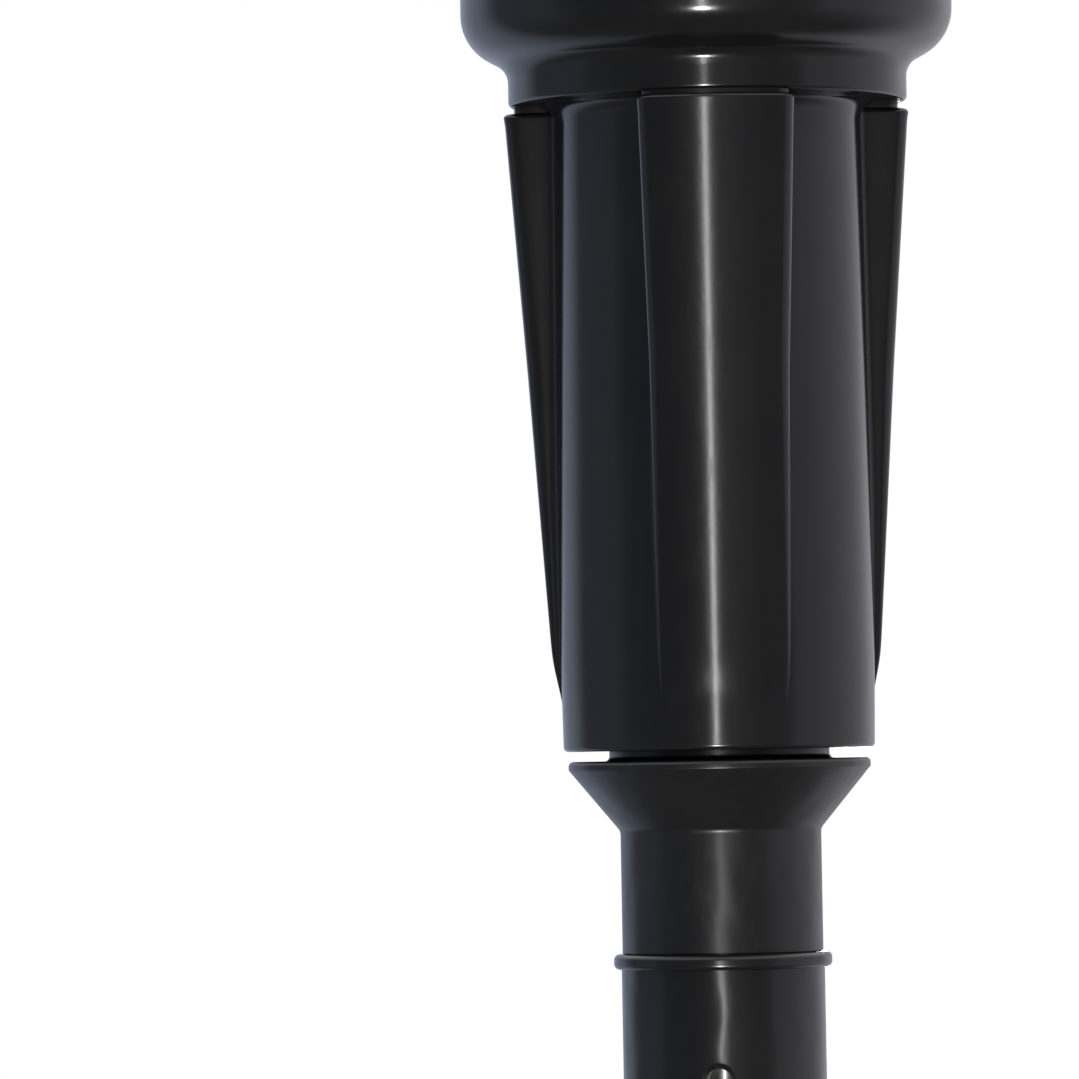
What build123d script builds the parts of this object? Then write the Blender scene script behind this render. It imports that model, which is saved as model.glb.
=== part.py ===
from build123d import *
import math
import os

# Fuel nozzle: a pouring spout for a fuel can. Millimetres, +Z up, tip down as it pours.
# Z = 0 is the plane in which the can's mouth seats on the gasket, and the Z axis is the axis
# of every turned piece. One of the grip's three fins faces -Y.

# Gap left between faces that are drawn apart only so that they don't merge
SMALL = 0.02

# Coupling nut: a 45 mm can thread, held as a plain wall at the thread's minor radius
THREAD_R = 21.4
THREAD_LENGTH = 11.7
NUT_R = 26.0
NUT_TOP = 12.5
NUT_BOTTOM = -9.0
NUT_ROUND = 1.0
NUT_FLUTES = 30
FLUTE_R = 1.5
FLUTE_DEPTH = 0.7
FLUTE_MARGIN = 2.6
RELIEF_R = 22.9
WEB_TOP = -4.7
WEB_BOTTOM = -7.9
SKIRT_R = 23.6

# Swivel joint of the nut on the body
SPIGOT_R = 17.92
SWIVEL_CLEARANCE = 0.08
CLAMP_BORE_R = 12.4
CLAMP_SLEEVE_R = 15.2
CLAMP_FLANGE_R = 20.9
CLAMP_FLANGE_BOTTOM = -4.0
CLAMP_BOTTOM = -11.5
CLAMP_GROOVE_Z = -9.0
CLAMP_GROOVE_DEPTH = 1.2
CLAMP_GROOVE_SLACK = 0.1
CLAMP_SEAL_SECTION = 0.57
GASKET_THICKNESS = 2.0
GASKET_BORE_R = 15.6
SLIP_RING_THICKNESS = 0.6

# Inlet strainer
STRAINER_R = 13.2
STRAINER_INNER_R = 11.9
STRAINER_TOP = -2.4
STRAINER_SEAT = -6.0
STRAINER_HUB_R = 6.3
STRAINER_HUB_TOP = -13.0
STRAINER_HUB_BOTTOM = -15.0
STRAINER_RIBS = 6
STRAINER_RIB_WIDTH = 1.2
STRAINER_RIB_DEPTH = 1.4
MESH_THICKNESS = 0.3

# Outside of the body: bead, cove, neck, core and three tapered fins
BEAD_R = 24.6
BEAD_Z = -14.5
BEAD_ROUND = 5.0
BEAD_LOWER = 3.15
COVE_Z = -20.2
COVE_ROUND = 2.2
NECK_R = 19.95
NECK_BOTTOM = -23.9
NECK_EDGE_ROUND = 0.5
CORE_TOP_R = 15.2
CORE_ROOT_ROUND = 2.0
CORE_WIDE_R = 15.7
CORE_WIDE_Z = -79.5
CORE_BOTTOM_R = 15.55
BODY_BOTTOM = -88.5
BODY_EDGE_ROUND = 0.5
FIN_COUNT = 3
FIN_HALF_ANGLE = 23.4
FIN_TOP = -24.3
FIN_TOP_R = 20.7
FIN_RAMP_TOP = -79.3
FIN_RAMP_R = 16.65
FIN_NECK_R = 19.7
FIN_NECK_INSET_ANGLE = 0.4
FIN_END = -84.6
FIN_END_R = 15.43
FIN_ROOT_R = 14.0
FIN_EDGE_ROUND = 1.5

# Inside of the body
SEAT_BORE_R = 13.7
SEAT_BORE_TOP = -20.0
SEAT_Z = -30.0
BORE_R = 12.6
POCKET_INNER_R = 18.4
POCKET_OUTER_R = 21.6
POCKET_BOTTOM = -18.0
POCKET_RIBS = 12
POCKET_RIB_WIDTH = 1.6

# Plug carrier and its retaining ring
CARRIER_TOP = -26.6
CARRIER_RIM_R = 11.4
CARRIER_LEGS = 3
CARRIER_LEG_WIDTH = 2.2
CLIP_R = 14.4
CLIP_INNER_R = 12.6
CLIP_TOP = -25.6
CLIP_THICKNESS = 1.0
CLIP_GAP = 3.0
CLIP_EYE_R = 1.3
CLIP_EYE_INSET = 0.2

# Shut-off valve: the piston head slides off the fixed plug as the spout is pulled out
FLOW_R = 8.5
HEAD_TOP = -53.5
HEAD_BOTTOM = -63.5
HEAD_R = 12.52
HEAD_GROOVE_R = 10.8
HEAD_GROOVE_TOP = -54.8
HEAD_GROOVE_BOTTOM = -58.0
HEAD_SOCKET_TOP = -58.2
HEAD_LEAD_IN = 0.8
PISTON_SEAL_SECTION = 0.86
STROKE = 9.0
PLUG_R = 8.3
PLUG_GROOVE_R = 6.4
PLUG_GROOVE_TOP = -55.0
PLUG_GROOVE_BOTTOM = -57.1
PLUG_BOTTOM = -58.8
PLUG_NOSE_R = 6.6
PLUG_SEAL_SECTION = 1.01
PLUG_LOWER_RIM = 0.6
STEM_R = 4.0
STEM_END_R = 3.2
STEM_CAP_R = 3.0
STEM_CAP_HEIGHT = 2.0
STEM_FLARE_TOP = -49.0
STEM_FLARE_BOTTOM = -53.8

# Spout: shaft, pull flange, cone and upper tube
SHAFT_R = 11.0
SHAFT_CLEARANCE = 0.05
SHAFT_SPIGOT_R = 10.0
SHAFT_ROOT_ROUND = 0.5
FLANGE_TOP = -89.5
FLANGE_R = 15.1
FLANGE_WIDE_Z = -90.1
FLANGE_EDGE_ROUND = 0.5
CONE_BOTTOM = -96.5
CONE_ROOT_ROUND = 1.0
TUBE_R = 10.03
TUBE_BOTTOM = -108.6
TUBE_EDGE_ROUND = 0.2
TIP_SOCKET_R = 9.3
TIP_SPIGOT_BOTTOM = -117.0
KEY_WIDTH = 3.0
KEY_DEPTH = 0.8

# Guide bush and wiper at the body's lower end
BUSH_TOP = HEAD_BOTTOM - STROKE - SMALL
BUSH_BOTTOM = -87.7
WIPER_R = 12.0
WIPER_TOP = -86.1
WIPER_RELIEF = 0.5
WIPER_LIP_HEIGHT = 0.6
KEY_ROOT = 0.6

# Tip
TIP_TOP = -108.8
TIP_R = 10.15
TIP_RIM_R = 10.9
TIP_RIM_HEIGHT = 1.5
TIP_RIM_ROUND = 0.55
TIP_STRAIGHT_END = -133.0
TIP_BOTTOM = -139.5
TIP_END_R = 9.7
TIP_END_ROUND = 0.9
PORT_Z = -121.3
PORT_R = 1.3
PORT_RIM_R = 1.9
PORT_RIM_DEPTH = 0.5
PORT_ANGLE = -6.0

# Air vent: tube, check valve at the top, sliding guide in the tip
VENT_R = 2.0
VENT_BORE_R = 1.3
VENT_TOP = -14.5
VENT_BOTTOM = -127.5
BALL_R = 2.5
CAGE_R = 5.0
CAGE_TOP = -5.2
CAGE_BOTTOM = -19.5
CAGE_SHOULDER = -17.0
CAGE_NECK_R = 3.0
CAGE_CHAMBER_R = 3.4
CAGE_WINDOWS = 4
CAGE_WINDOW = 3.0
CAGE_WINDOW_TOP = -7.0
CAGE_WINDOW_BOTTOM = -11.5
VENT_CAP_THICKNESS = 1.4
VENT_CAP_PLUG = 1.0
VENT_HOLES = 5
VENT_HOLE_R = 0.7
VENT_HOLE_CIRCLE_R = 2.1
SEAT_ANGLE = 45.0
GUIDE_TOP = -109.5
GUIDE_BOTTOM = -135.5
GUIDE_FLOOR = 1.5
GUIDE_SLEEVE_R = 3.4
GUIDE_HEAD_R = 4.2
GUIDE_HEAD_HEIGHT = 3.0
GUIDE_HEAD_TAPER = 1.5
GUIDE_NOSE_ROUND = 1.5
GUIDE_LEG_ANGLE = 120.0
GUIDE_CLEARANCE = 0.06
GUIDE_SEAL_R = 3.15
GUIDE_SEAL_DEPTH = 1.9
GUIDE_LEGS_TOP = -117.5
GUIDE_LEGS_BOTTOM = -125.5
GUIDE_BAND = 0.9
GUIDE_LEG_WIDTH = 1.4
GUIDE_PORT_LEG_WIDTH = 4.4

# How far a cutting tool reaches past what it cuts, and a bar into the rings that it joins
OVERCUT = 1.0
OVERLAP = 0.5

# Edge rounding of the small turned pieces
SMALL_ROUND = 0.4


def turned(*outline):
    """Solid of revolution about Z. The outline is (radius, height) or (radius, height, rounding)."""
    corners = [(corner[0], corner[1]) for corner in outline]
    roundings = [corner[2] if len(corner) == 3 else 0 for corner in outline]
    edge = FilletPolyline(*corners, radius=roundings, close=True)
    return revolve(Plane.XZ * make_face(edge), Axis.Z)


def disc(radius, top, bottom):
    """Plain disc about Z between two heights."""
    return Pos(0, 0, (top + bottom) / 2) * Cylinder(radius, top - bottom)


def ring(outer, inner, top, bottom, edge=0):
    """Plain ring about Z, with its four edges rounded by edge."""
    return turned((inner, bottom, edge), (outer, bottom, edge), (outer, top, edge), (inner, top, edge))


def o_ring(groove_radius, section_radius, height):
    """Round-section seal that sits on a groove floor."""
    return Pos(0, 0, height) * Torus(groove_radius + SMALL + section_radius, section_radius)


def around(count, shape, start=0):
    """The shape repeated evenly about Z."""
    return [Rot(0, 0, start + index * 360 / count) * shape for index in range(count)]


def radial_bar(inner, outer, width, top, bottom):
    """Bar that runs outwards along +X between two radii and two heights."""
    middle = Pos((inner + outer) / 2, 0, (top + bottom) / 2)
    return middle * Box(outer - inner, width, top - bottom)


def coupling_nut():
    """Union nut: fluted outside, thread wall above, inner web below that pulls on the body."""
    web_hole = SPIGOT_R + SWIVEL_CLEARANCE
    nut = turned(
        (THREAD_R, 0),
        (THREAD_R, THREAD_LENGTH),
        (THREAD_R + NUT_TOP - THREAD_LENGTH, NUT_TOP),
        (NUT_R, NUT_TOP, NUT_ROUND),
        (NUT_R, NUT_BOTTOM, NUT_ROUND),
        (SKIRT_R, NUT_BOTTOM),
        (SKIRT_R, WEB_BOTTOM),
        (web_hole, WEB_BOTTOM),
        (web_hole, WEB_TOP),
        (RELIEF_R, WEB_TOP),
        (RELIEF_R, 0),
    )
    flute_centre = Pos(NUT_R - FLUTE_DEPTH + FLUTE_R, 0, 0)
    flute = flute_centre * disc(FLUTE_R, NUT_TOP - FLUTE_MARGIN, NUT_BOTTOM + FLUTE_MARGIN)
    return nut - around(NUT_FLUTES, flute)


def clamp_ring():
    """Flanged sleeve pressed into the body's spigot, which traps the nut and holds the gasket."""
    sleeve = turned(
        (CLAMP_BORE_R, CLAMP_BOTTOM),
        (CLAMP_SLEEVE_R, CLAMP_BOTTOM),
        (CLAMP_SLEEVE_R, CLAMP_FLANGE_BOTTOM),
        (CLAMP_FLANGE_R, CLAMP_FLANGE_BOTTOM),
        (CLAMP_FLANGE_R, -GASKET_THICKNESS),
        (STRAINER_R, -GASKET_THICKNESS),
        (STRAINER_R, STRAINER_SEAT),
        (CLAMP_BORE_R, STRAINER_SEAT),
    )
    groove_floor = CLAMP_SLEEVE_R - CLAMP_GROOVE_DEPTH
    half_height = CLAMP_SEAL_SECTION + CLAMP_GROOVE_SLACK
    groove_top = CLAMP_GROOVE_Z + half_height
    return sleeve - ring(CLAMP_SLEEVE_R + OVERCUT, groove_floor, groove_top, CLAMP_GROOVE_Z - half_height)


def clamp_seal():
    """O-ring between the clamp ring's sleeve and the spigot's bore."""
    return o_ring(CLAMP_SLEEVE_R - CLAMP_GROOVE_DEPTH, CLAMP_SEAL_SECTION, CLAMP_GROOVE_Z)


def can_gasket():
    """Flat gasket that the can's mouth seats on."""
    return ring(CLAMP_FLANGE_R, GASKET_BORE_R, 0, -GASKET_THICKNESS)


def nut_slip_ring():
    """Low-friction washer between the clamp ring and the nut's web."""
    bottom = CLAMP_FLANGE_BOTTOM - SLIP_RING_THICKNESS
    return ring(CLAMP_FLANGE_R, SPIGOT_R + 2 * SWIVEL_CLEARANCE, CLAMP_FLANGE_BOTTOM, bottom)


def sector(half_angle, bottom, top):
    """Wedge about +X that reaches past the fins, between two heights."""
    reach = 2 * FIN_TOP_R
    side = reach * math.tan(math.radians(half_angle))
    outline = make_face(Polyline((0, 0), (reach, -side), (reach, side), close=True))
    return Pos(0, 0, bottom) * extrude(outline, top - bottom)


def fin():
    """One tapered grip fin, facing +X before it is turned into place, with its joint to the neck."""
    cone = turned(
        (FIN_ROOT_R, FIN_END),
        (FIN_END_R, FIN_END),
        (FIN_RAMP_R, FIN_RAMP_TOP),
        (FIN_TOP_R, FIN_TOP),
        (FIN_ROOT_R, FIN_TOP),
    )
    blade = cone & sector(FIN_HALF_ANGLE, FIN_END, FIN_TOP)
    long_edges = blade.edges().filter_by(GeomType.LINE).sort_by(lambda edge: edge.length)[-4:]
    outer_edges = long_edges.sort_by(lambda edge: edge.center().X)[-2:]
    joint_top = NECK_BOTTOM + NECK_EDGE_ROUND
    joint_angle = FIN_HALF_ANGLE - FIN_NECK_INSET_ANGLE
    joint = ring(FIN_NECK_R, FIN_ROOT_R, joint_top, FIN_TOP) & sector(joint_angle, FIN_TOP, joint_top)
    return fillet(outer_edges, FIN_EDGE_ROUND) + joint


def nozzle_body():
    """Hand grip and valve housing in one moulding: spigot, bead, neck, core and fins."""
    shoulder = BEAD_Z + BEAD_ROUND
    shell = turned(
        (SPIGOT_R, CLAMP_FLANGE_BOTTOM),
        (SPIGOT_R, shoulder),
        (BEAD_R, shoulder, BEAD_ROUND - SMALL),
        (BEAD_R, BEAD_Z - BEAD_LOWER, BEAD_ROUND - SMALL),
        (NECK_R, COVE_Z, COVE_ROUND),
        (NECK_R, NECK_BOTTOM, NECK_EDGE_ROUND),
        (CORE_TOP_R, NECK_BOTTOM, CORE_ROOT_ROUND),
        (CORE_WIDE_R, CORE_WIDE_Z),
        (CORE_BOTTOM_R, BODY_BOTTOM, BODY_EDGE_ROUND),
        (BORE_R, BODY_BOTTOM),
        (BORE_R, SEAT_Z),
        (SEAT_BORE_R, SEAT_Z),
        (SEAT_BORE_R, SEAT_BORE_TOP),
        (CLAMP_SLEEVE_R, CLAMP_BOTTOM),
        (CLAMP_SLEEVE_R, CLAMP_FLANGE_BOTTOM),
    )
    blades = around(FIN_COUNT, fin(), start=-90)
    finned = shell + blades
    clip_groove = ring(CLIP_R, SEAT_BORE_R - OVERCUT, CLIP_TOP + SMALL, CLIP_TOP - CLIP_THICKNESS - SMALL)
    return finned - clip_groove - core_out(shoulder)


def core_out(shoulder):
    """Ribbed pocket that lightens the bead from above, under the nut's web."""
    pocket = ring(POCKET_OUTER_R, POCKET_INNER_R, shoulder + OVERCUT, POCKET_BOTTOM)
    rib_inner = POCKET_INNER_R - OVERCUT
    rib_outer = POCKET_OUTER_R + OVERCUT
    rib = radial_bar(rib_inner, rib_outer, POCKET_RIB_WIDTH, shoulder, POCKET_BOTTOM - OVERCUT)
    return pocket - around(POCKET_RIBS, rib)


def strainer_slope(radius):
    """Height of the strainer ribs' upper edge at a radius."""
    share = (radius - STRAINER_HUB_R) / (STRAINER_INNER_R - STRAINER_HUB_R)
    rim_height = STRAINER_SEAT + STRAINER_RIB_DEPTH
    return STRAINER_HUB_TOP + share * (rim_height - STRAINER_HUB_TOP)


def strainer_frame():
    """Moulded funnel frame for the inlet mesh: seat ring, sloping ribs and hub ring."""
    seat_ring = ring(STRAINER_R, STRAINER_INNER_R, STRAINER_TOP, STRAINER_SEAT)
    hub = ring(STRAINER_HUB_R, CAGE_R, STRAINER_HUB_TOP, STRAINER_HUB_BOTTOM)
    rib_outer = STRAINER_INNER_R + OVERLAP
    rib_inner = STRAINER_HUB_R - OVERLAP
    side = Polyline(
        (rib_outer, strainer_slope(rib_outer) - STRAINER_RIB_DEPTH),
        (rib_outer, strainer_slope(rib_outer)),
        (rib_inner, strainer_slope(rib_inner)),
        (rib_inner, strainer_slope(rib_inner) - STRAINER_RIB_DEPTH),
        close=True,
    )
    rib = extrude(Plane.XZ * make_face(side), STRAINER_RIB_WIDTH / 2, both=True)
    return seat_ring + hub + around(STRAINER_RIBS, rib)


def strainer_mesh():
    """Conical inlet mesh, held as a thin shell that lies on the frame's ribs."""
    hub_height = strainer_slope(STRAINER_HUB_R) + SMALL
    rim_height = strainer_slope(STRAINER_INNER_R) + SMALL
    return turned(
        (STRAINER_HUB_R, hub_height),
        (STRAINER_INNER_R, rim_height),
        (STRAINER_INNER_R, rim_height + MESH_THICKNESS),
        (STRAINER_HUB_R, hub_height + MESH_THICKNESS),
    )


def plug_carrier():
    """Spider with a long hollow stem that holds the shut-off plug in the middle of the flow."""
    rim = ring(SEAT_BORE_R, CARRIER_RIM_R, CARRIER_TOP, SEAT_Z)
    stem = turned(
        (VENT_R, CARRIER_TOP + STEM_CAP_HEIGHT),
        (STEM_CAP_R, CARRIER_TOP + STEM_CAP_HEIGHT),
        (STEM_R, CARRIER_TOP),
        (STEM_R, STEM_FLARE_TOP),
        (PLUG_R, STEM_FLARE_BOTTOM),
        (PLUG_R, PLUG_GROOVE_TOP),
        (STEM_END_R, PLUG_GROOVE_TOP),
        (STEM_END_R, PLUG_BOTTOM),
        (VENT_R, PLUG_BOTTOM),
    )
    leg_inner = STEM_R - OVERLAP
    leg_outer = CARRIER_RIM_R + OVERLAP
    leg = radial_bar(leg_inner, leg_outer, CARRIER_LEG_WIDTH, CARRIER_TOP, SEAT_Z)
    return rim + stem + around(CARRIER_LEGS, leg, start=30)


def valve_plug():
    """Shut-off plug pressed on the end of the carrier's stem, trapping its seal."""
    return turned(
        (STEM_END_R, PLUG_GROOVE_TOP),
        (PLUG_GROOVE_R, PLUG_GROOVE_TOP),
        (PLUG_GROOVE_R, PLUG_GROOVE_BOTTOM),
        (PLUG_R, PLUG_GROOVE_BOTTOM),
        (PLUG_R, PLUG_GROOVE_BOTTOM - PLUG_LOWER_RIM),
        (PLUG_NOSE_R, PLUG_BOTTOM),
        (STEM_END_R, PLUG_BOTTOM),
    )


def plug_seal():
    """O-ring of the shut-off plug, which seals in the bore of the piston head."""
    return o_ring(PLUG_GROOVE_R, PLUG_SEAL_SECTION, (PLUG_GROOVE_TOP + PLUG_GROOVE_BOTTOM) / 2)


def carrier_clip():
    """Internal retaining ring above the carrier, with a gap and two plier eyes."""
    bottom = CLIP_TOP - CLIP_THICKNESS
    band = ring(CLIP_R - SMALL, CLIP_INNER_R, CLIP_TOP, bottom)
    gap_outer = CLIP_R + OVERCUT
    gap = radial_bar(CLIP_INNER_R - OVERCUT, gap_outer, CLIP_GAP, CLIP_TOP + OVERCUT, bottom - OVERCUT)
    clip = band - gap
    for side in (-1, 1):
        eye_place = Pos(CLIP_INNER_R - CLIP_EYE_INSET, side * (CLIP_GAP / 2 + CLIP_EYE_R), 0)
        clip += eye_place * disc(CLIP_EYE_R, CLIP_TOP, bottom)
        clip -= eye_place * disc(CLIP_EYE_R / 2, CLIP_TOP + OVERCUT, bottom - OVERCUT)
    return clip


def piston_head():
    """Collar on the shaft's top: seals in the body, and is the stop at full stroke."""
    return turned(
        (FLOW_R + HEAD_LEAD_IN, HEAD_TOP),
        (HEAD_R, HEAD_TOP, SMALL_ROUND),
        (HEAD_R, HEAD_GROOVE_TOP),
        (HEAD_GROOVE_R, HEAD_GROOVE_TOP),
        (HEAD_GROOVE_R, HEAD_GROOVE_BOTTOM),
        (HEAD_R, HEAD_GROOVE_BOTTOM),
        (HEAD_R, HEAD_BOTTOM, SMALL_ROUND),
        (SHAFT_SPIGOT_R, HEAD_BOTTOM),
        (SHAFT_SPIGOT_R, HEAD_SOCKET_TOP),
        (FLOW_R, HEAD_SOCKET_TOP),
        (FLOW_R, HEAD_TOP - HEAD_LEAD_IN),
    )


def piston_seal():
    """O-ring of the piston head, which seals in the body's bore."""
    height = HEAD_GROOVE_TOP - SMALL - PISTON_SEAL_SECTION
    return o_ring(HEAD_GROOVE_R, PISTON_SEAL_SECTION, height)


def piston_backup_ring():
    """Square backup ring under the piston seal."""
    top = HEAD_GROOVE_TOP - 3 * SMALL - 2 * PISTON_SEAL_SECTION
    return ring(HEAD_R - SMALL, HEAD_GROOVE_R + SMALL, top, HEAD_GROOVE_BOTTOM + SMALL)


def guide_bush():
    """Bush pressed into the body's lower bore: guides the shaft and stops the piston head."""
    bush = turned(
        (SHAFT_R + SHAFT_CLEARANCE, BUSH_TOP),
        (BORE_R, BUSH_TOP),
        (BORE_R, BUSH_BOTTOM),
        (WIPER_R, BUSH_BOTTOM),
        (WIPER_R, WIPER_TOP),
        (SHAFT_R + SHAFT_CLEARANCE, WIPER_TOP),
    )
    key_inner = SHAFT_R - KEY_DEPTH + 2 * SHAFT_CLEARANCE
    key_width = KEY_WIDTH - 2 * SHAFT_CLEARANCE
    key = radial_bar(key_inner, SHAFT_R + KEY_ROOT, key_width, BUSH_TOP, WIPER_TOP)
    return bush + Rot(0, 0, 90) * key


def wiper_ring():
    """Dust wiper in the mouth of the bush."""
    return turned(
        (SHAFT_R + SHAFT_CLEARANCE, BUSH_BOTTOM),
        (WIPER_R, BUSH_BOTTOM),
        (WIPER_R, WIPER_TOP),
        (SHAFT_R + WIPER_RELIEF, WIPER_TOP),
        (SHAFT_R + SHAFT_CLEARANCE, BUSH_BOTTOM + WIPER_LIP_HEIGHT),
    )


def spout_tube():
    """Sliding shaft, pull flange and upper tube in one moulding, with a keyway at the back."""
    tube = turned(
        (FLOW_R, HEAD_SOCKET_TOP),
        (SHAFT_SPIGOT_R, HEAD_SOCKET_TOP),
        (SHAFT_SPIGOT_R, HEAD_BOTTOM),
        (SHAFT_R, HEAD_BOTTOM),
        (SHAFT_R, FLANGE_TOP, SHAFT_ROOT_ROUND),
        (FLANGE_R, FLANGE_TOP, FLANGE_EDGE_ROUND),
        (FLANGE_R, FLANGE_WIDE_Z - FLANGE_EDGE_ROUND / 2, FLANGE_EDGE_ROUND / 2),
        (TUBE_R, CONE_BOTTOM, CONE_ROOT_ROUND),
        (TUBE_R, TUBE_BOTTOM, TUBE_EDGE_ROUND),
        (TIP_SOCKET_R, TUBE_BOTTOM),
        (TIP_SOCKET_R, TIP_SPIGOT_BOTTOM),
        (FLOW_R, TIP_SPIGOT_BOTTOM),
    )
    keyway_bottom = FLANGE_TOP + SHAFT_ROOT_ROUND
    keyway = radial_bar(SHAFT_R - KEY_DEPTH, SHAFT_R + OVERCUT, KEY_WIDTH, HEAD_BOTTOM, keyway_bottom)
    return tube - Rot(0, 0, 90) * keyway


def tip_tube():
    """Lower tube: reinforced rim at its mouth, rounded end, and the air port in its side."""
    tube = turned(
        (TIP_SOCKET_R, TIP_TOP),
        (TIP_RIM_R, TIP_TOP, TIP_RIM_ROUND),
        (TIP_RIM_R, TIP_TOP - TIP_RIM_HEIGHT, TIP_RIM_ROUND),
        (TIP_R, TIP_TOP - TIP_RIM_HEIGHT),
        (TIP_R, TIP_STRAIGHT_END),
        (TIP_END_R, TIP_BOTTOM, TIP_END_ROUND),
        (FLOW_R, TIP_BOTTOM),
        (FLOW_R, TIP_SPIGOT_BOTTOM),
        (TIP_SOCKET_R, TIP_SPIGOT_BOTTOM),
    )
    return tube - port_cutter()


def port_cutter():
    """Countersunk drilling for the air port, outwards through the tip's wall."""
    start = FLOW_R - OVERCUT
    depth = TIP_R - start
    drill = Pos(start + depth / 2, 0, 0) * Rot(0, 90, 0) * Cylinder(PORT_R, depth)
    rim_middle = TIP_R - PORT_RIM_DEPTH / 2
    countersink = Pos(rim_middle, 0, 0) * Rot(0, 90, 0) * Cone(PORT_R, PORT_RIM_R, PORT_RIM_DEPTH)
    mouth = Pos(TIP_R + OVERCUT / 2, 0, 0) * Rot(0, 90, 0) * Cylinder(PORT_RIM_R, OVERCUT)
    return Rot(0, 0, PORT_ANGLE - 90) * Pos(0, 0, PORT_Z) * (drill + countersink + mouth)


def vent_tube():
    """Air tube from the tip's port up to the check valve at the can's mouth."""
    return ring(VENT_R, VENT_BORE_R, VENT_TOP, VENT_BOTTOM)


def vent_cage():
    """Seat and chamber of the vent's check ball, pressed on the top of the air tube."""
    seat_rise = CAGE_CHAMBER_R - VENT_BORE_R
    cage = turned(
        (VENT_R, CAGE_BOTTOM),
        (CAGE_NECK_R, CAGE_BOTTOM),
        (CAGE_R, CAGE_SHOULDER),
        (CAGE_R, CAGE_TOP),
        (CAGE_CHAMBER_R, CAGE_TOP),
        (CAGE_CHAMBER_R, VENT_TOP + seat_rise),
        (VENT_BORE_R, VENT_TOP),
        (VENT_R, VENT_TOP),
    )
    inner = CAGE_CHAMBER_R - OVERCUT
    window = radial_bar(inner, CAGE_R + OVERCUT, CAGE_WINDOW, CAGE_WINDOW_TOP, CAGE_WINDOW_BOTTOM)
    return cage - around(CAGE_WINDOWS, window, start=45)


def vent_cap():
    """Drilled cap that closes the ball's chamber."""
    cap = turned(
        (0, CAGE_TOP + VENT_CAP_THICKNESS),
        (CAGE_R, CAGE_TOP + VENT_CAP_THICKNESS, SMALL_ROUND),
        (CAGE_R, CAGE_TOP),
        (CAGE_CHAMBER_R, CAGE_TOP),
        (CAGE_CHAMBER_R, CAGE_TOP - VENT_CAP_PLUG),
        (0, CAGE_TOP - VENT_CAP_PLUG),
    )
    hole_top = CAGE_TOP + VENT_CAP_THICKNESS + OVERCUT
    hole_bottom = CAGE_TOP - VENT_CAP_PLUG - OVERCUT
    hole = Pos(VENT_HOLE_CIRCLE_R, 0, 0) * disc(VENT_HOLE_R, hole_top, hole_bottom)
    return cap - around(VENT_HOLES, hole)


def vent_ball():
    """Check ball, resting on the 45 degree seat by its own weight."""
    contact_offset = BALL_R * math.cos(math.radians(SEAT_ANGLE))
    seat_height = VENT_TOP + contact_offset - VENT_BORE_R
    return Pos(0, 0, seat_height + contact_offset + SMALL) * Sphere(BALL_R)


def vent_guide():
    """Sleeve that slides on the air tube, on three legs in the tip; one leg carries the air port."""
    sleeve_bore = VENT_R + GUIDE_CLEARANCE
    head_bottom = GUIDE_TOP - GUIDE_HEAD_HEIGHT
    sleeve = turned(
        (sleeve_bore, GUIDE_TOP - GUIDE_SEAL_DEPTH),
        (GUIDE_SEAL_R, GUIDE_TOP - GUIDE_SEAL_DEPTH),
        (GUIDE_SEAL_R, GUIDE_TOP),
        (GUIDE_HEAD_R, GUIDE_TOP, SMALL_ROUND),
        (GUIDE_HEAD_R, head_bottom),
        (GUIDE_SLEEVE_R, head_bottom - GUIDE_HEAD_TAPER),
        (GUIDE_SLEEVE_R, GUIDE_BOTTOM, GUIDE_NOSE_ROUND),
        (0, GUIDE_BOTTOM),
        (0, GUIDE_BOTTOM + GUIDE_FLOOR),
        (sleeve_bore, GUIDE_BOTTOM + GUIDE_FLOOR),
    )
    band = ring(FLOW_R, FLOW_R - GUIDE_BAND, GUIDE_LEGS_TOP, GUIDE_LEGS_BOTTOM)
    inner = GUIDE_SLEEVE_R - OVERLAP
    outer = FLOW_R - GUIDE_BAND / 2
    thin_leg = radial_bar(inner, outer, GUIDE_LEG_WIDTH, GUIDE_LEGS_TOP, GUIDE_LEGS_BOTTOM)
    port_leg = radial_bar(inner, outer, GUIDE_PORT_LEG_WIDTH, GUIDE_LEGS_TOP, GUIDE_LEGS_BOTTOM)
    port_turn = Rot(0, 0, PORT_ANGLE - 90)
    guide = sleeve + band + port_turn * port_leg
    for side in (-1, 1):
        guide += port_turn * Rot(0, 0, side * GUIDE_LEG_ANGLE) * thin_leg
    drill = Pos((sleeve_bore + FLOW_R) / 2, 0, PORT_Z) * Rot(0, 90, 0) * Cylinder(PORT_R, FLOW_R)
    return guide - port_turn * drill


def vent_guide_seal():
    """Small O-ring between the guide's sleeve and the air tube."""
    section = (GUIDE_SEAL_R - VENT_R) / 2 - SMALL - GUIDE_CLEARANCE / 2
    height = GUIDE_TOP - GUIDE_SEAL_DEPTH + section + SMALL
    return o_ring(VENT_R + GUIDE_CLEARANCE, section, height)


os.makedirs("parts", exist_ok=True)

PIECES = [
    coupling_nut,
    clamp_ring,
    clamp_seal,
    can_gasket,
    nut_slip_ring,
    nozzle_body,
    strainer_frame,
    strainer_mesh,
    plug_carrier,
    valve_plug,
    plug_seal,
    carrier_clip,
    piston_head,
    piston_seal,
    piston_backup_ring,
    guide_bush,
    wiper_ring,
    spout_tube,
    tip_tube,
    vent_tube,
    vent_cage,
    vent_cap,
    vent_ball,
    vent_guide,
    vent_guide_seal,
]

for piece in PIECES:
    export_step(piece(), f"parts/{piece.__name__}.step")
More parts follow.
